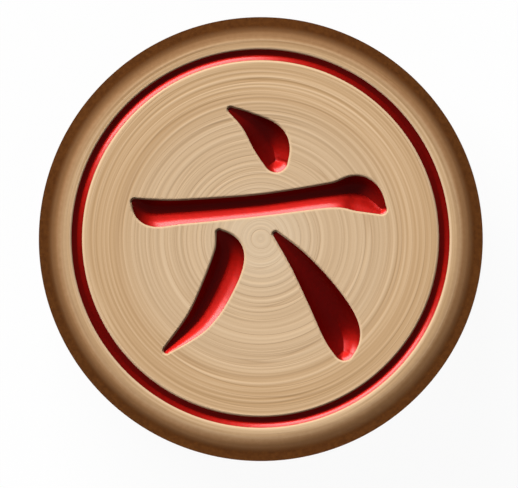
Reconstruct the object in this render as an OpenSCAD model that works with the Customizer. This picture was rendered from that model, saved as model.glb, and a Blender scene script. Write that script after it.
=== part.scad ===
// Wooden board-game piece: a turned disc with a painted ring groove and a painted, carved numeral.
// The origin is the centre of the lower face, and +Z points up through the carved face.

/* [Disc] */
// Widest diameter, halfway up the side
disc_d = 50; // [40:0.5:64]
// Thickness from the lower flat face to the carved face
disc_h = 20; // [12:0.5:28]
// Radius of the bulge that the side has from face to face
side_r = 40; // [30:1:90]
// Radius of the shoulder between the side and each flat face
shoulder_r = 2.2; // [1:0.1:4]

/* [Ring groove] */
// Flat margin between the shoulder and the ring groove
ring_margin = 0.83; // [0.2:0.01:2]
// Width of the ring groove at the carved face
ring_w = 1.18; // [0.8:0.02:2]
// Depth of the round-bottomed ring groove
ring_depth = 0.55; // [0.3:0.01:0.9]

/* [Numeral] */
// Bare face between the ring groove and the circle that holds the numeral
numeral_gap = 3.2; // [1:0.1:6]
// Width of a full brush stroke
brush_w = 4.2; // [2.2:0.1:4.8]
// Depth of a full brush stroke, carved to a V
carve_depth = 1.55; // [1.4:0.05:2.4]

/* [Paint] */
// Depth of the paint that lines every groove, measured straight down
paint_t = 0.12; // [0.05:0.01:0.2]

/* [Hidden] */
$fn = 96;

wood_colour = [0.78, 0.65, 0.49];
paint_colour = [0.62, 0.05, 0.03];

// Clearance by which a cutting tool starts above the carved face
cut_over = 0.2;

// Centre of the side's bulge and of the shoulders, in the half section
side_x = disc_d / 2 - side_r;
shoulder_z = disc_h / 2 - shoulder_r;
face_r = side_x + sqrt(pow(side_r - shoulder_r, 2) - pow(shoulder_z, 2));
// Angle at which a shoulder runs into the side, seen from the bulge's centre
shoulder_angle = atan2(shoulder_z, face_r - side_x);

// Radius of the ring groove's middle, and of the round cutter that leaves its section
ring_r = face_r - ring_margin - ring_w / 2;
ring_tool_r = (pow(ring_w / 2, 2) + pow(ring_depth, 2)) / (2 * ring_depth);
ring_tool_z = disc_h + ring_tool_r - ring_depth;

// The numeral's strokes, each a row of [x, y, half width] that the brush passes through:
// x and y in shares of numeral_r, and half widths in shares of half of brush_w
numeral_r = ring_r - ring_w / 2 - numeral_gap;
dot = [[-0.2, 0.86, 0.15], [-0.07, 0.775, 0.49], [0.06, 0.65, 0.94], [0.1, 0.525, 0.64]];
bar = [[-0.84, 0.245, 0.18], [-0.735, 0.175, 0.68], [-0.52, 0.18, 0.62], [0, 0.225, 0.56],
       [0.47, 0.29, 0.63], [0.665, 0.3, 0.92], [0.805, 0.2, 0.28]];
left_leg = [[-0.275, 0.04, 0.17], [-0.21, -0.1, 0.78], [-0.29, -0.33, 0.81],
            [-0.42, -0.55, 0.61], [-0.63, -0.745, 0.15]];
right_leg = [[0.1, 0.03, 0.15], [0.26, -0.155, 0.53], [0.425, -0.4, 0.89],
             [0.535, -0.61, 1], [0.555, -0.745, 0.52]];
strokes = [dot, bar, left_leg, right_leg];

// Steps along a stroke, and around each of its two rounded ends
stroke_steps = 28;
end_steps = 8;
// Sideways run of a carved wall for each millimetre of depth
wall_run = brush_w / 2 / carve_depth;

// Point at t of a smooth curve through the points p, with t from 0 to len(p) - 1
function along(p, t) =
    let (
        i = min(floor(t), len(p) - 2),
        u = t - i,
        a = p[max(i - 1, 0)],
        b = p[i],
        c = p[i + 1],
        d = p[min(i + 2, len(p) - 1)]
    )
    b + u / 2 * (c - a + u * (2 * a - 5 * b + 4 * c - d + u * (3 * b - 3 * c + d - a)));

// Brush positions [x, y, half width] in millimetres along one stroke
function brush_path(stroke) =
    let (p = [for (q = stroke) [q.x * numeral_r, q.y * numeral_r, q.z * brush_w / 2]])
    [for (k = [0:stroke_steps]) along(p, k / stroke_steps * (len(p) - 1))];

// Change from the position before step k to the one after it
function travel(path, k) = path[min(k + 1, len(path) - 1)] - path[max(k - 1, 0)];

// Heading of the brush at step k
function heading(path, k) = let (d = travel(path, k)) atan2(d.y, d.x);

// Angle from the heading to the stroke's edge: 90 where the stroke keeps its width
function edge_angle(path, k) = let (d = travel(path, k)) acos(-d.z / norm([d.x, d.y]));

// Closed outline of a stroke as [step, direction] pairs, clockwise from above
function outline(path) =
    let (
        last = len(path) - 1,
        h0 = heading(path, 0),
        e0 = edge_angle(path, 0),
        h1 = heading(path, last),
        e1 = edge_angle(path, last)
    )
    [
        for (k = [0:last]) [k, heading(path, k) + edge_angle(path, k)],
        for (j = [1:end_steps - 1]) [last, h1 + e1 - 2 * e1 * j / end_steps],
        for (k = [last:-1:0]) [k, heading(path, k) - edge_angle(path, k)],
        for (j = [1:end_steps - 1]) [0, h0 - e0 - (360 - 2 * e0) * j / end_steps]
    ];

// Corners of a V-cut's rim at the height `over` above the carved face, then of its floor line,
// with its walls lifted by `up`
function v_points(path, rim, up, over) = [
    for (q = rim)
        let (p = path[q[0]], w = p.z + (over - up) * wall_run)
        [p.x + w * cos(q[1]), p.y + w * sin(q[1]), disc_h + over],
    for (p = path) [p.x, p.y, disc_h + up - p.z / wall_run]
];

// Triangles of a V-cut's walls, seen from below, for corners that start at the index `first`
function v_walls(rim, first) = [
    for (i = [0:len(rim) - 1])
        let (
            next = (i + 1) % len(rim),
            j = first + next,
            a = first + len(rim) + rim[i][0],
            b = first + len(rim) + rim[next][0]
        )
        each (a == b ? [[j, first + i, a]] : [[j, first + i, a], [j, a, b]])
];

// Solid that one V-shaped stroke takes out of the disc
module v_cut(stroke) {
    path = brush_path(stroke);
    rim = outline(path);
    top = [for (i = [0:len(rim) - 1]) i];
    polyhedron(v_points(path, rim, 0, cut_over), concat([top], v_walls(rim, 0)));
}

// Film of even depth on the walls of one V-shaped stroke, up to the carved face
module v_film(stroke) {
    path = brush_path(stroke);
    rim = outline(path);
    wood_side = v_points(path, rim, 0, 0);
    open_side = v_points(path, rim, paint_t, 0);
    inner = len(wood_side);
    edge = [
        for (i = [0:len(rim) - 1])
            let (j = (i + 1) % len(rim))
            each [[i, j, inner + j], [i, inner + j, inner + i]]
    ];
    inside = [for (t = v_walls(rim, inner)) [t[0], t[2], t[1]]];
    polyhedron(concat(wood_side, open_side), concat(v_walls(rim, 0), edge, inside));
}

// Point of the half section at an angle and a distance from the bulge's centre
function from_bulge(angle, distance) = [side_x + distance * cos(angle), distance * sin(angle)];

// Half section of the disc: flat faces, rounded shoulders and a bulging side
module disc_section() {
    past_side = 2 * side_r;
    translate([0, disc_h / 2]) {
        translate([0, -disc_h / 2])
            square([face_r, disc_h]);
        for (s = [-1, 1])
            translate([face_r, s * shoulder_z])
                circle(shoulder_r);
        intersection() {
            translate([side_x, 0])
                circle(side_r);
            polygon([
                [0, -shoulder_z],
                [face_r, -shoulder_z],
                from_bulge(-shoulder_angle, past_side),
                from_bulge(shoulder_angle, past_side),
                [face_r, shoulder_z],
                [0, shoulder_z]
            ]);
        }
    }
}

// Round cutter of the ring groove, lifted by `up`
module ring_cutter(up) {
    rotate_extrude()
        translate([ring_r, ring_tool_z + up])
            circle(ring_tool_r);
}

// Turned and carved wooden disc
module disc() {
    color(wood_colour)
        difference() {
            rotate_extrude()
                disc_section();
            ring_cutter(0);
            for (s = strokes)
                v_cut(s);
        }
}

// Paint that lines the ring groove up to the carved face
module ring_paint() {
    color(paint_colour)
        difference() {
            ring_cutter(0);
            ring_cutter(paint_t);
            translate([0, 0, disc_h])
                cylinder(h = 2 * ring_tool_r, r = disc_d / 2);
        }
}

// Paint in the numeral's four strokes
module dot_paint() { color(paint_colour) v_film(dot); }
module bar_paint() { color(paint_colour) v_film(bar); }
module left_leg_paint() { color(paint_colour) v_film(left_leg); }
module right_leg_paint() { color(paint_colour) v_film(right_leg); }

disc();
ring_paint();
dot_paint();
bar_paint();
left_leg_paint();
right_leg_paint();
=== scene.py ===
"""A carved wooden board-game piece on a white table, seen from straight above."""

import math

import bmesh
import bpy
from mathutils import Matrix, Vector
from mathutils.geometry import delaunay_2d_cdt


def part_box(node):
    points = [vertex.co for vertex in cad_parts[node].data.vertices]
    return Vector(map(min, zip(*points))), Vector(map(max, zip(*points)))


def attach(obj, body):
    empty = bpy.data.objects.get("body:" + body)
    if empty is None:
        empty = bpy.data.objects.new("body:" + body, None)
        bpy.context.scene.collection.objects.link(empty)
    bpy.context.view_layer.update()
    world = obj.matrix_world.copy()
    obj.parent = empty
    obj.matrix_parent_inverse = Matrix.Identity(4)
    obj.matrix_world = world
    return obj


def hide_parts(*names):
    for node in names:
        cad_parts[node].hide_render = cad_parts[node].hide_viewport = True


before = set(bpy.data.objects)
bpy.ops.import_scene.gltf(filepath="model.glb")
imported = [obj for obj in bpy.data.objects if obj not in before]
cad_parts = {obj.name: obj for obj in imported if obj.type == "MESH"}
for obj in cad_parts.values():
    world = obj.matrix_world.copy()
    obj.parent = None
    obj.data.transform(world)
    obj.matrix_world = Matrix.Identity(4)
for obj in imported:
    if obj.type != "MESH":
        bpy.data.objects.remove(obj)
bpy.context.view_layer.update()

# Sizes in millimetres
MM = 0.001
disc_low, disc_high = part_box("disc")
ring_low, ring_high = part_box("ring_paint")
DISC_R = (disc_high.x - disc_low.x) / 2 / MM
DISC_H = disc_high.z / MM
SIDE_R = 40.0
SHOULDER_R = 2.2
RING_W = 1.18
RING_DEPTH = 0.55
RING_R = ring_high.x / MM - RING_W / 2
NUMERAL_GAP = 3.2
NUMERAL_R = RING_R - RING_W / 2 - NUMERAL_GAP
BRUSH_W = 4.2
CARVE_DEPTH = 1.55
# Bare arris outside a groove's paint, on its crisp and on its rolled side, and flat strip around it
CRISP_ARRIS = 0.22
ROLLED_ARRIS = 0.16
STRIP = 0.12
# Least distance from a groove to the points that are spread over the face
FACE_CLEAR = 3 * STRIP
# Shift of the ring's paint towards the crisp side of its groove
RING_LEAN = 0.07
# Paint's depth in its groove, its surface above the carved wood, and its wood side below it
PAINT_T = 0.12
PAINT_LIFT = 0.025
PAINT_SUNK = 0.01

# Strokes of the numeral: x and y in shares of NUMERAL_R, half widths in shares of half BRUSH_W
STROKES = {
    "dot": [(-0.2, 0.86, 0.15), (-0.07, 0.775, 0.49), (0.06, 0.65, 0.94), (0.1, 0.525, 0.64)],
    "bar": [(-0.84, 0.245, 0.18), (-0.735, 0.175, 0.68), (-0.52, 0.18, 0.62), (0, 0.225, 0.56),
            (0.47, 0.29, 0.63), (0.665, 0.3, 0.92), (0.805, 0.2, 0.28)],
    "left_leg": [(-0.275, 0.04, 0.17), (-0.21, -0.1, 0.78), (-0.29, -0.33, 0.81),
                 (-0.42, -0.55, 0.61), (-0.63, -0.745, 0.15)],
    "right_leg": [(0.1, 0.03, 0.15), (0.26, -0.155, 0.53), (0.425, -0.4, 0.89),
                  (0.535, -0.61, 1), (0.555, -0.745, 0.52)],
}

# Slope of a groove's wall at shares of its half width, from the arris to the floor line.
# The chisel leaves a crisp wall on the groove's upper left and a rolled one on its lower right.
CRISP_SIDE_DEG = 120
CRISP_WALL = [(1.0, 0.6), (0.93, 1.2), (0.88, 2.4), (0.6, 1.2), (0.3, 0.3), (0.0, 0.0)]
ROLLED_WALL = [(1.0, 0.0), (0.96, 0.5), (0.66, 0.6), (0.5, 0.8), (0.3, 0.88), (0.0, 0.88)]
RING_CRISP_WALL = [(1.0, 0.6), (0.85, 1.2), (0.75, 1.6), (0.4, 0.6), (0.0, 0.0)]
RING_ROLLED_WALL = [
    (1.0, 0.0), (0.94, 0.34), (0.83, 0.42), (0.5, 0.5), (0.25, 0.64), (0.1, 0.95), (0.0, 1.1),
]

# Steps of the meshes
TURN_STEPS = 288
STROKE_STEPS = 96
END_STEPS = 24
WALL_STEPS = 16
SHOULDER_STEPS = 14
SIDE_STEPS = 36
# Loops on each side of the ring groove, and round a stroke, that lie on the bare arris, where the wood is
# coloured paler as a painted highlight along the lips
RING_ARRIS_LOOPS = 4
STROKE_ARRIS_LOOPS = 2

# Camera
IMAGE_SIZE_PX = (518, 488)
DISC_CENTRE_PX = (260.3, 238.6)
DISC_R_PX = 222.0
LENS_MM = 1000.0
SENSOR_MM = 36.0


def make_camera():
    """A long lens straight above the piece, framed as in the photograph."""
    mm_per_px = DISC_R / DISC_R_PX
    middle_px = [(size - 1) / 2 for size in IMAGE_SIZE_PX]
    distance = IMAGE_SIZE_PX[0] * mm_per_px * LENS_MM / SENSOR_MM
    data = bpy.data.cameras.new("camera")
    data.lens = LENS_MM
    data.sensor_width = SENSOR_MM
    data.clip_end = 100
    camera = bpy.data.objects.new("camera", data)
    camera.location = Vector((
        (middle_px[0] - DISC_CENTRE_PX[0]) * mm_per_px,
        (DISC_CENTRE_PX[1] - middle_px[1]) * mm_per_px,
        DISC_H / 2 + distance,
    )) * MM
    bpy.context.scene.collection.objects.link(camera)
    bpy.context.scene.camera = camera


# Meshes
class Shell:
    """Points in millimetres and faces of one mesh, with the points on an arris and on sharp edges."""

    def __init__(self):
        self.points = []
        self.faces = []
        self.arris = set()
        self.sharp = set()

    def add(self, points):
        start = len(self.points)
        self.points.extend(points)
        return list(range(start, len(self.points)))

    def bridge(self, a, b):
        for i in range(len(a)):
            j = (i + 1) % len(a)
            self.faces.append((a[i], a[j], b[j], b[i]))

    def bridge_all(self, loops):
        for a, b in zip(loops, loops[1:]):
            self.bridge(a, b)

    def fan(self, loop, apex):
        for i in range(len(loop)):
            self.faces.append((loop[i], loop[(i + 1) % len(loop)], apex))

    def close_on(self, loop, spine, owners):
        """Joins a stroke's innermost loop to its floor line."""
        for i in range(len(loop)):
            j = (i + 1) % len(loop)
            way = 1 if owners[j] <= owners[i] else -1
            floor = [spine[k] for k in range(owners[j], owners[i] + way, way)]
            self.faces.append(tuple([loop[i], loop[j]] + floor))

    def make(self, name, material):
        mesh = bpy.data.meshes.new(name)
        mesh.from_pydata([Vector(p) * MM for p in self.points], [], self.faces)
        work = bmesh.new()
        work.from_mesh(mesh)
        bmesh.ops.recalc_face_normals(work, faces=work.faces)
        for face in work.faces:
            face.smooth = True
        for edge in work.edges:
            edge.smooth = not all(vert.index in self.sharp for vert in edge.verts)
        work.to_mesh(mesh)
        work.free()
        if self.arris:
            marks = mesh.attributes.new("arris", "FLOAT", "POINT")
            for i in self.arris:
                marks.data[i].value = 1.0
        mesh.materials.append(material)
        piece = bpy.data.objects.new(name, mesh)
        bpy.context.scene.collection.objects.link(piece)
        return piece


def circle(radius, z):
    turn = 2 * math.pi / TURN_STEPS
    return [(radius * math.cos(k * turn), radius * math.sin(k * turn), z) for k in range(TURN_STEPS)]


def arc(centre, radius, start_deg, end_deg, steps):
    """Points of a section's arc, both ends included."""
    angles = [math.radians(start_deg + (end_deg - start_deg) * k / steps) for k in range(steps + 1)]
    return [(centre[0] + radius * math.cos(a), centre[1] + radius * math.sin(a)) for a in angles]


def fall(wall, share):
    """Depth that a wall reaches from its arris down to a share of the half width."""
    depth = 0.0
    for (s0, slope0), (s1, slope1) in zip(wall, wall[1:]):
        if share >= s0:
            break
        end = max(share, s1)
        slope_end = slope0 + (slope1 - slope0) * (s0 - end) / (s0 - s1)
        depth += (s0 - end) * (slope0 + slope_end) / 2
    return depth


def crispness(angle):
    """1 on the crisp side of a groove, falling to 0 on its rolled side."""
    return (1 + math.cos(angle - math.radians(CRISP_SIDE_DEG))) / 2


def arris(angle):
    """Width of the bare arris on the side of a groove that lies in the direction `angle`."""
    return ROLLED_ARRIS + (CRISP_ARRIS - ROLLED_ARRIS) * crispness(angle)


def drop(crisp_wall, rolled_wall, share, angle):
    """Depth of a groove at a share of its half width, as a share of its floor line's depth."""
    crisp = crispness(angle)
    crisp_fall = fall(crisp_wall, share) / fall(crisp_wall, 0)
    rolled_fall = fall(rolled_wall, share) / fall(rolled_wall, 0)
    return crisp * crisp_fall + (1 - crisp) * rolled_fall


def along(points, t):
    """Smooth curve through the points, at t from 0 to len(points) - 1."""
    i = min(int(t), len(points) - 2)
    u = t - i
    a, b, c, d = (Vector(points[min(max(k, 0), len(points) - 1)]) for k in range(i - 1, i + 3))
    return b + u / 2 * (c - a + u * (2 * a - 5 * b + 4 * c - d + u * (3 * b - 3 * c + d - a)))


class Stroke:
    """One brush stroke: its path of (x, y, half width) and the directions of its outline."""

    def __init__(self, controls):
        self.points = [(x * NUMERAL_R, y * NUMERAL_R, w * BRUSH_W / 2) for x, y, w in controls]
        self.span = len(self.points) - 1
        self.path = [along(self.points, self.time(k)) for k in range(STROKE_STEPS + 1)]
        self.outline = self.make_outline()
        self.owners = [k for k, _ in self.outline]
        self.edge = self.loop(1, 0, beyond=STRIP)

    def time(self, k):
        return k / STROKE_STEPS * self.span

    def deepest(self, k):
        """Depth of the groove's floor line at step k."""
        return (self.path[k].z + ROLLED_ARRIS) * CARVE_DEPTH / (BRUSH_W / 2)

    def heading(self, k):
        """Heading at step k, and the angle from it to the stroke's edge."""
        near = 0.001
        before = along(self.points, max(self.time(k) - near, 0))
        after = along(self.points, min(self.time(k) + near, self.span))
        travel = after - before
        edge = math.acos(max(-1.0, min(1.0, -travel.z / math.hypot(travel.x, travel.y))))
        return math.atan2(travel.y, travel.x), edge

    def make_outline(self):
        """(step, direction) pairs clockwise round the stroke."""
        steps = range(STROKE_STEPS + 1)
        ends = range(1, END_STEPS)
        headings = [self.heading(k) for k in steps]
        first, first_edge = headings[0]
        last, last_edge = headings[-1]
        back_turn = 2 * math.pi - 2 * first_edge
        left = [(k, headings[k][0] + headings[k][1]) for k in steps]
        front = [(STROKE_STEPS, last + last_edge * (1 - 2 * j / END_STEPS)) for j in ends]
        right = [(k, headings[k][0] - headings[k][1]) for k in reversed(steps)]
        back = [(0, first - first_edge - back_turn * j / END_STEPS) for j in ends]
        return [pair for pair in left + front + right + back if self.is_outermost(*pair)]

    def is_outermost(self, k, angle):
        """True if the edge point of step k lies outside the brush at every other step."""
        tolerance = 0.0002
        reach = self.path[k].z + CRISP_ARRIS + STRIP
        x = self.path[k].x + reach * math.cos(angle)
        y = self.path[k].y + reach * math.sin(angle)
        return self.distance(x, y) > STRIP - tolerance

    def distance(self, x, y):
        """Distance from a point of the face to the groove with its widest arris."""
        return min(math.hypot(x - p.x, y - p.y) - p.z - CRISP_ARRIS for p in self.path)

    def loop(self, share, lift, painted=False, beyond=0.0):
        """Loop at a share of the groove's or the paint's half width, lifted off the carved wood."""
        points = []
        for k, angle in self.outline:
            reach = self.path[k].z + arris(angle)
            run = share * (self.path[k].z if painted else reach) + beyond
            depth = self.deepest(k) * drop(CRISP_WALL, ROLLED_WALL, min(run / reach, 1), angle)
            x = self.path[k].x + run * math.cos(angle)
            y = self.path[k].y + run * math.sin(angle)
            points.append((x, y, DISC_H - depth + lift))
        return points

    def spine(self, lift):
        """Floor line of the stroke, lifted off the carved wood."""
        return [(p.x, p.y, DISC_H - self.deepest(k) + lift) for k, p in enumerate(self.path)]

    def holds(self, x, y):
        """True if a point of the face is inside the stroke's edge, by counting crossings."""
        inside = False
        for (ax, ay, _), (bx, by, _) in zip(self.edge, self.edge[1:] + self.edge[:1]):
            if (ay > y) != (by > y) and x < ax + (y - ay) * (bx - ax) / (by - ay):
                inside = not inside
        return inside


def ring_loop(share, lift, painted=False):
    """Loop of the ring groove or its paint at a share from -1, its inner edge, to 1, its outer edge."""
    deepest = RING_DEPTH - PAINT_T + PAINT_LIFT
    points = []
    for x, y, _ in circle(1, 0):
        angle = math.atan2(share * y, share * x)
        reach = RING_W / 2 + arris(angle)
        painted_half = RING_W / 2 + RING_LEAN * (2 * crispness(angle) - 1)
        run = share * (painted_half if painted else reach)
        depth = deepest * drop(RING_CRISP_WALL, RING_ROLLED_WALL, abs(run) / reach, angle)
        points.append(((RING_R + run) * x, (RING_R + run) * y, DISC_H - depth + lift))
    return points


def body_section():
    """Half section of the disc as (radius, height), from the lower face to the ring groove."""
    side_x = DISC_R - SIDE_R
    shoulder_z = DISC_H / 2 - SHOULDER_R
    face_r = side_x + math.sqrt((SIDE_R - SHOULDER_R) ** 2 - shoulder_z ** 2)
    lean = math.degrees(math.atan2(shoulder_z, face_r - side_x))
    section = [(face_r * share, 0.0) for share in (0.1, 0.3, 0.5, 0.7, 0.9)]
    section += [(face_r - STRIP, 0.0)]
    section += arc((face_r, SHOULDER_R), SHOULDER_R, -90, -lean, SHOULDER_STEPS)
    section += arc((side_x, DISC_H / 2), SIDE_R, -lean, lean, SIDE_STEPS)[1:-1]
    section += arc((face_r, DISC_H - SHOULDER_R), SHOULDER_R, lean, 90, SHOULDER_STEPS)
    section += [(face_r - STRIP, DISC_H), (RING_R + RING_W / 2 + CRISP_ARRIS + STRIP, DISC_H)]
    return section


def face_points(limit_r, strokes):
    """Points spread evenly over the bare face."""
    spacing = 1.4
    points = [(0.0, 0.0, DISC_H)]
    for k in range(1, int(limit_r / spacing)):
        r = k * spacing
        count = round(2 * math.pi * r / spacing)
        turns = [2 * math.pi * (j + k % 2 / 2) / count for j in range(count)]
        points += [(r * math.cos(a), r * math.sin(a), DISC_H) for a in turns]
    return [p for p in points if min(s.distance(p[0], p[1]) for s in strokes) > FACE_CLEAR]


def make_disc(strokes, material):
    """The turned disc with its ring groove and the recesses of the numeral."""
    shell = Shell()
    body = [shell.add(circle(r, z)) for r, z in body_section()]
    shell.fan(body[0], shell.add([(0, 0, 0)])[0])
    shares = [1 - k / WALL_STEPS for k in range(2 * WALL_STEPS + 1)]
    groove = [shell.add(ring_loop(share, 0)) for share in shares]
    limit_r = RING_R - RING_W / 2 - CRISP_ARRIS - STRIP
    face_limit = shell.add(circle(limit_r, DISC_H))
    shell.bridge_all(body + groove + [face_limit])
    for loop in groove[:RING_ARRIS_LOOPS] + groove[-RING_ARRIS_LOOPS:]:
        shell.arris.update(loop)
    borders = [face_limit]
    for stroke in strokes:
        edge = shell.add(stroke.edge)
        walls = [shell.add(stroke.loop(share, 0)) for share in shares[:WALL_STEPS]]
        shell.bridge_all([edge] + walls)
        shell.close_on(walls[-1], shell.add(stroke.spine(0)), stroke.owners)
        for loop in walls[:STROKE_ARRIS_LOOPS]:
            shell.arris.update(loop)
        borders.append(edge)
    used = [i for border in borders for i in border] + shell.add(face_points(limit_r, strokes))
    place = {index: k for k, index in enumerate(used)}
    rims = [(place[loop[i - 1]], place[loop[i]]) for loop in borders for i in range(len(loop))]
    flat = [Vector(shell.points[i][:2]) for i in used]
    merge_distance = 1e-6
    _, _, triangles, origins, _, _ = delaunay_2d_cdt(flat, rims, [], 0, merge_distance)
    for triangle in triangles:
        corners = [used[origins[k][0]] for k in triangle]
        x, y, _ = sum((Vector(shell.points[i]) for i in corners), Vector()) / len(corners)
        if not any(s.distance(x, y) < FACE_CLEAR and s.holds(x, y) for s in strokes):
            shell.faces.append(tuple(corners))
    return shell.make("wood_disc", material)


def make_stroke_paint(name, stroke, material):
    """Film of paint on the walls of one stroke, closed on its wood side."""
    shell = Shell()
    shares = [1 - k / WALL_STEPS for k in range(WALL_STEPS)]
    edges = []
    for lift in (PAINT_LIFT, -PAINT_SUNK):
        loops = [shell.add(stroke.loop(share, lift, painted=True)) for share in shares]
        shell.bridge_all(loops)
        spine = shell.add(stroke.spine(lift))
        shell.close_on(loops[-1], spine, stroke.owners)
        edges.append(loops[0])
        shell.sharp.update(loops[0] + spine)
    shell.bridge(*edges)
    return shell.make(name + "_enamel", material)


def make_ring_paint(material):
    """Film of paint round the ring groove, closed on its wood side."""
    shell = Shell()
    shares = [1 - k / WALL_STEPS for k in range(2 * WALL_STEPS + 1)]
    top = [shell.add(ring_loop(share, PAINT_LIFT, painted=True)) for share in shares]
    under = [shell.add(ring_loop(share, -PAINT_SUNK, painted=True)) for share in reversed(shares)]
    shell.bridge_all(top + under + top[:1])
    for loops in (top, under):
        shell.sharp.update(loops[0] + loops[WALL_STEPS] + loops[-1])
    return shell.make("ring_enamel", material)


# Materials
# Radii over which the wood turns from its pale middle to tan, from tan to honey, and on to brown
PALE_R = (0.0, 18.0)
HONEY_R = (21.4, 23.0)
BROWN_R = (22.3, 24.0)


def linear(red, green, blue):
    """Linear colour of an sRGB colour given from 0 to 255."""
    shares = [value / 255 for value in (red, green, blue)]
    return tuple(v / 12.92 if v <= 0.04045 else ((v + 0.055) / 1.055) ** 2.4 for v in shares) + (1.0,)


def grey(value):
    return (value, value, value, 1.0)


class Graph:
    """Builds the nodes of one material."""
    # Colour sockets of the Mix node, whose names repeat for other kinds of value
    MIX_A, MIX_B, MIX_OUT = 6, 7, 2

    def __init__(self, name):
        self.material = bpy.data.materials.new(name)
        self.material.use_nodes = True
        self.nodes = self.material.node_tree.nodes
        self.links = self.material.node_tree.links
        self.shader = self.nodes["Principled BSDF"]

    def add(self, kind, inputs, **settings):
        node = self.nodes.new("ShaderNode" + kind)
        for key, value in settings.items():
            setattr(node, key, value)
        for key, value in inputs.items():
            self.put(node.inputs[key], value)
        return node

    def put(self, socket, value):
        if isinstance(value, bpy.types.NodeSocket):
            self.links.new(value, socket)
        else:
            socket.default_value = value

    def math(self, operation, a, b=0.0):
        return self.add("Math", {0: a, 1: b}, operation=operation).outputs[0]

    def vector(self, operation, a, b=(0, 0, 0)):
        return self.add("VectorMath", {0: a, 1: b}, operation=operation)

    def noise(self, vector, scale, detail, roughness=0.5):
        inputs = {"Vector": vector, "Scale": scale, "Detail": detail, "Roughness": roughness}
        return self.add("TexNoise", inputs).outputs["Fac"]

    def spread(self, value, low, high, to_low=0.0, to_high=1.0, kind="LINEAR"):
        inputs = {"Value": value, "From Min": low, "From Max": high, "To Min": to_low, "To Max": to_high}
        return self.add("MapRange", inputs, interpolation_type=kind).outputs["Result"]

    def mix(self, factor, a, b):
        node = self.add("Mix", {"Factor": factor, self.MIX_A: a, self.MIX_B: b}, data_type="RGBA")
        return node.outputs[self.MIX_OUT]

    def ramp(self, value, stops):
        node = self.add("ValToRGB", {"Fac": value})
        elements = node.color_ramp.elements
        elements[0].position, elements[0].color = stops[0]
        elements[1].position, elements[1].color = stops[-1]
        for position, colour in stops[1:-1]:
            elements.new(position).color = colour
        return node.outputs["Color"]

    def place_mm(self):
        """Place on the piece in millimetres."""
        coords = self.add("TexCoord", {}).outputs["Object"]
        return self.vector("MULTIPLY", coords, (1 / MM, 1 / MM, 1 / MM)).outputs["Vector"]


def make_wood():
    """Turned wood: ring lines on the faces, upright fibres on the side, darkening to brown over the
    shoulder and the side.
    """
    g = Graph("turned_wood")
    place = g.place_mm()
    flat = g.vector("MULTIPLY", place, (1, 1, 0)).outputs["Vector"]
    radius = g.vector("LENGTH", flat).outputs["Value"]
    axes = g.add("SeparateXYZ", {"Vector": flat})

    def ring_noise(per_mm, drift, detail, roughness=0.5, shift=0.0):
        parts = {
            "X": g.math("MULTIPLY", g.math("ADD", radius, shift), per_mm),
            "Y": g.math("MULTIPLY", axes.outputs["X"], drift),
            "Z": g.math("MULTIPLY", axes.outputs["Y"], drift),
        }
        return g.noise(g.add("CombineXYZ", parts).outputs["Vector"], 1.0, detail, roughness)

    def ridge(value, width):
        away = g.math("ABSOLUTE", g.math("SUBTRACT", value, 0.5))
        return g.spread(away, 0.0, width, 1.0, 0.0)

    bands = ring_noise(0.5, 0.02, 2.0)
    # Fine turning marks, as a noise less a copy of it close by, deeper towards the numeral's top
    mark, copy = (ring_noise(2.3, 0.03, 2.0, shift=shift) for shift in (20.0, 20.2))
    marks = g.math("SUBTRACT", mark, copy)
    marks = g.math("MULTIPLY", marks, g.spread(axes.outputs["Y"], 0.0, 16.0, 0.65, 0.9))
    tone = g.math("ADD", g.math("MULTIPLY", bands, 0.4), g.math("ADD", marks, 0.3))
    light_lines = ridge(ring_noise(1.0, 0.015, 1.0, shift=40.0), 0.025)
    dark_lines = ridge(ring_noise(0.9, 0.015, 1.0, shift=60.0), 0.02)
    fibre_place = g.vector("MULTIPLY", place, (1, 1, 0.04)).outputs["Vector"]
    fibre = g.noise(fibre_place, 2.2, 3.0)
    pore = g.noise(fibre_place, 9.0, 2.0)

    tan = g.ramp(g.spread(tone, 0.2, 0.76), [
        (0.0, linear(181, 143, 100)), (0.5, linear(209, 172, 130)), (1.0, linear(235, 201, 161)),
    ])
    # The face is paler towards its middle
    pale = g.ramp(g.spread(radius, *PALE_R), [
        (0.15, grey(0.58)), (0.4, grey(0.28)), (0.75, grey(0.24)), (0.92, grey(0.0)),
    ])
    tan = g.mix(pale, tan, linear(235, 214, 185))
    tan = g.mix(g.math("MULTIPLY", light_lines, 0.3), tan, linear(239, 206, 165))
    tan = g.mix(g.math("MULTIPLY", dark_lines, 0.25), tan, linear(172, 130, 87))
    tan = g.mix(g.spread(pore, 0.55, 0.75, 0.0, 0.15), tan, linear(176, 138, 96))
    # Painted highlight: the wood on the arris of every groove is coloured paler, standing in for light
    # along the lips
    tan = g.mix(g.add("Attribute", {}, attribute_name="arris").outputs["Fac"], tan, linear(224, 190, 152))
    brown = g.mix(g.spread(fibre, 0.35, 0.65), linear(64, 35, 14), linear(75, 43, 18))
    brown = g.mix(g.spread(pore, 0.5, 0.75, 0.0, 0.4), brown, linear(54, 29, 12))
    edge = g.math("ADD", radius, g.spread(fibre, 0.3, 0.7, -0.05, 0.05))
    honey = g.mix(g.spread(tone, 0.36, 0.64), linear(146, 107, 71), linear(158, 118, 81))
    shoulder = g.mix(g.spread(edge, *HONEY_R, kind="SMOOTHSTEP"), tan, honey)
    brown_to_rim = g.mix(g.spread(edge, *BROWN_R, kind="SMOOTHSTEP"), shoulder, brown)
    g.put(g.shader.inputs["Base Color"], brown_to_rim)
    g.put(g.shader.inputs["Roughness"], g.spread(tone, 0.36, 0.64, 0.6, 0.5))
    g.put(g.shader.inputs["Specular IOR Level"], 0.0)
    relief = g.math("SUBTRACT", g.math("MULTIPLY", marks, 2.0), g.math("MULTIPLY", dark_lines, 0.5))
    bump = g.add("Bump", {"Height": relief, "Strength": 1.0, "Distance": 0.00002})
    g.put(g.shader.inputs["Normal"], bump.outputs["Normal"])
    return g.material


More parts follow.
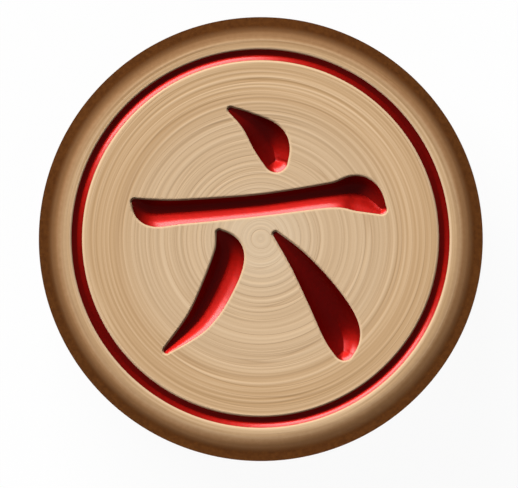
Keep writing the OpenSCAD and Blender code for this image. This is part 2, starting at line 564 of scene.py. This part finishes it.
def make_enamel():
    """Glossy red paint, darker where it lies deep in a groove: painted shade in the recesses."""
    g = Graph("red_enamel")
    place = g.place_mm()
    height = g.add("SeparateXYZ", {"Vector": place}).outputs["Z"]
    streak = g.noise(place, 1.6, 1.0)
    depth = g.math("SUBTRACT", DISC_H, height)
    depth = g.math("ADD", depth, g.spread(streak, 0.3, 0.7, -0.06, 0.06))
    # Painted shade: the red darkens with depth in the groove
    colour = g.ramp(g.spread(depth, 0.0, 1.5), [
        (0.0, linear(160, 12, 3)), (0.4, linear(155, 11, 3)), (1.0, linear(140, 8, 3)),
    ])
    g.put(g.shader.inputs["Base Color"], colour)
    g.put(g.shader.inputs["Roughness"], g.spread(streak, 0.3, 0.7, 0.49, 0.53))
    g.put(g.shader.inputs["Metallic"], 0.9)
    g.put(g.shader.inputs["Specular IOR Level"], 0.0)
    g.put(g.shader.inputs["Coat Weight"], 0.42)
    g.put(g.shader.inputs["Coat Roughness"], 0.24)
    bump = g.add("Bump", {"Height": streak, "Strength": 0.2, "Distance": 0.0001})
    g.put(g.shader.inputs["Normal"], bump.outputs["Normal"])
    return g.material


# Stage, with angles in degrees, and lamps' distances and sizes in metres
AMBIENT = 0.1
KEY_AZIMUTH = 120
KEY_ELEVATION = 30
KEY_SHARE = 0.95
KEY_DISTANCE = 4.0
KEY_SIZE = (4.0, 1.0)
FILL_TURNS = (90, 135, 180, 225, 270)
FILL_SHARE = 0.5
FILL_DISTANCE = 0.16
FILL_SIZE = (0.09, 0.016)
# Height of the low lamps in millimetres, which keeps them under the level of the carved face
FILL_Z = DISC_H * 0.45


def seen_directly(tree):
    """1 for the rays that show the backdrop to the camera, in a reflection or through glass."""
    path = tree.nodes.new("ShaderNodeLightPath")
    total = path.outputs["Is Camera Ray"]
    for name in ("Is Glossy Ray", "Is Transmission Ray"):
        larger = tree.nodes.new("ShaderNodeMath")
        larger.operation = "MAXIMUM"
        tree.links.new(total, larger.inputs[0])
        tree.links.new(path.outputs[name], larger.inputs[1])
        total = larger.outputs[0]
    return total


def make_floor():
    """White table that keeps a faint shadow of the piece."""
    half = 4.0
    clearance = 0.00002
    glow_share = 0.94
    mesh = bpy.data.meshes.new("floor")
    signs = [(-1, -1), (1, -1), (1, 1), (-1, 1)]
    corners = [(x * half, y * half, -clearance) for x, y in signs]
    mesh.from_pydata(corners, [], [(0, 1, 2, 3)])
    floor = bpy.data.objects.new("floor", mesh)
    bpy.context.scene.collection.objects.link(floor)
    material = bpy.data.materials.new("white_table")
    material.use_nodes = True
    tree = material.node_tree
    tree.nodes.clear()
    lit = tree.nodes.new("ShaderNodeBsdfDiffuse")
    lit.inputs["Color"].default_value = grey(0.85)
    white = tree.nodes.new("ShaderNodeEmission")
    share = tree.nodes.new("ShaderNodeMath")
    share.operation = "MULTIPLY"
    share.inputs[1].default_value = glow_share
    mix = tree.nodes.new("ShaderNodeMixShader")
    out = tree.nodes.new("ShaderNodeOutputMaterial")
    tree.links.new(seen_directly(tree), share.inputs[0])
    tree.links.new(share.outputs[0], mix.inputs[0])
    tree.links.new(lit.outputs[0], mix.inputs[1])
    tree.links.new(white.outputs[0], mix.inputs[2])
    tree.links.new(mix.outputs[0], out.inputs["Surface"])
    mesh.materials.append(material)


def make_world():
    """Dim even light all round."""
    world = bpy.data.worlds.new("studio")
    bpy.context.scene.world = world
    world.use_nodes = True
    background = world.node_tree.nodes["Background"]
    background.inputs["Color"].default_value = grey(1.0)
    background.inputs["Strength"].default_value = AMBIENT


def make_lamp(name, azimuth_deg, elevation_deg, target_z, distance, size, white_share):
    """Soft lamp that lights a white surface turned to it at white_share times plain white."""
    data = bpy.data.lights.new(name, "AREA")
    data.shape = "RECTANGLE"
    data.size, data.size_y = size
    data.energy = white_share * math.pi ** 2 * distance ** 2
    lamp = bpy.data.objects.new(name, data)
    a, e = math.radians(azimuth_deg), math.radians(elevation_deg)
    way = Vector((math.cos(a) * math.cos(e), math.sin(a) * math.cos(e), math.sin(e)))
    lamp.location = Vector((0, 0, target_z * MM)) + way * distance
    lamp.rotation_mode = "QUATERNION"
    lamp.rotation_quaternion = way.to_track_quat("Z", "Y")
    lamp.visible_camera = False
    bpy.context.scene.collection.objects.link(lamp)


def make_lamps():
    """Key lamp from the upper left, and low lamps round the other side that reach only the rim."""
    key = KEY_SHARE / math.sin(math.radians(KEY_ELEVATION))
    make_lamp("key", KEY_AZIMUTH, KEY_ELEVATION, DISC_H, KEY_DISTANCE, KEY_SIZE, key)
    for turn in FILL_TURNS:
        make_lamp("side_fill", KEY_AZIMUTH + turn, 0, FILL_Z, FILL_DISTANCE, FILL_SIZE, FILL_SHARE)


bpy.context.scene.view_settings.view_transform = "Standard"
make_camera()
strokes = {name: Stroke(controls) for name, controls in STROKES.items()}
wood = make_wood()
enamel = make_enamel()
pieces = {"disc": (make_disc(list(strokes.values()), wood), "turned_wood")}
pieces["ring_paint"] = (make_ring_paint(enamel), "red_paint")
for name, stroke in strokes.items():
    pieces[name + "_paint"] = (make_stroke_paint(name, stroke, enamel), "red_paint")
for node_name, (piece, slot) in pieces.items():
    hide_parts(node_name)
    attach(piece, "root")
make_floor()
make_world()
make_lamps()
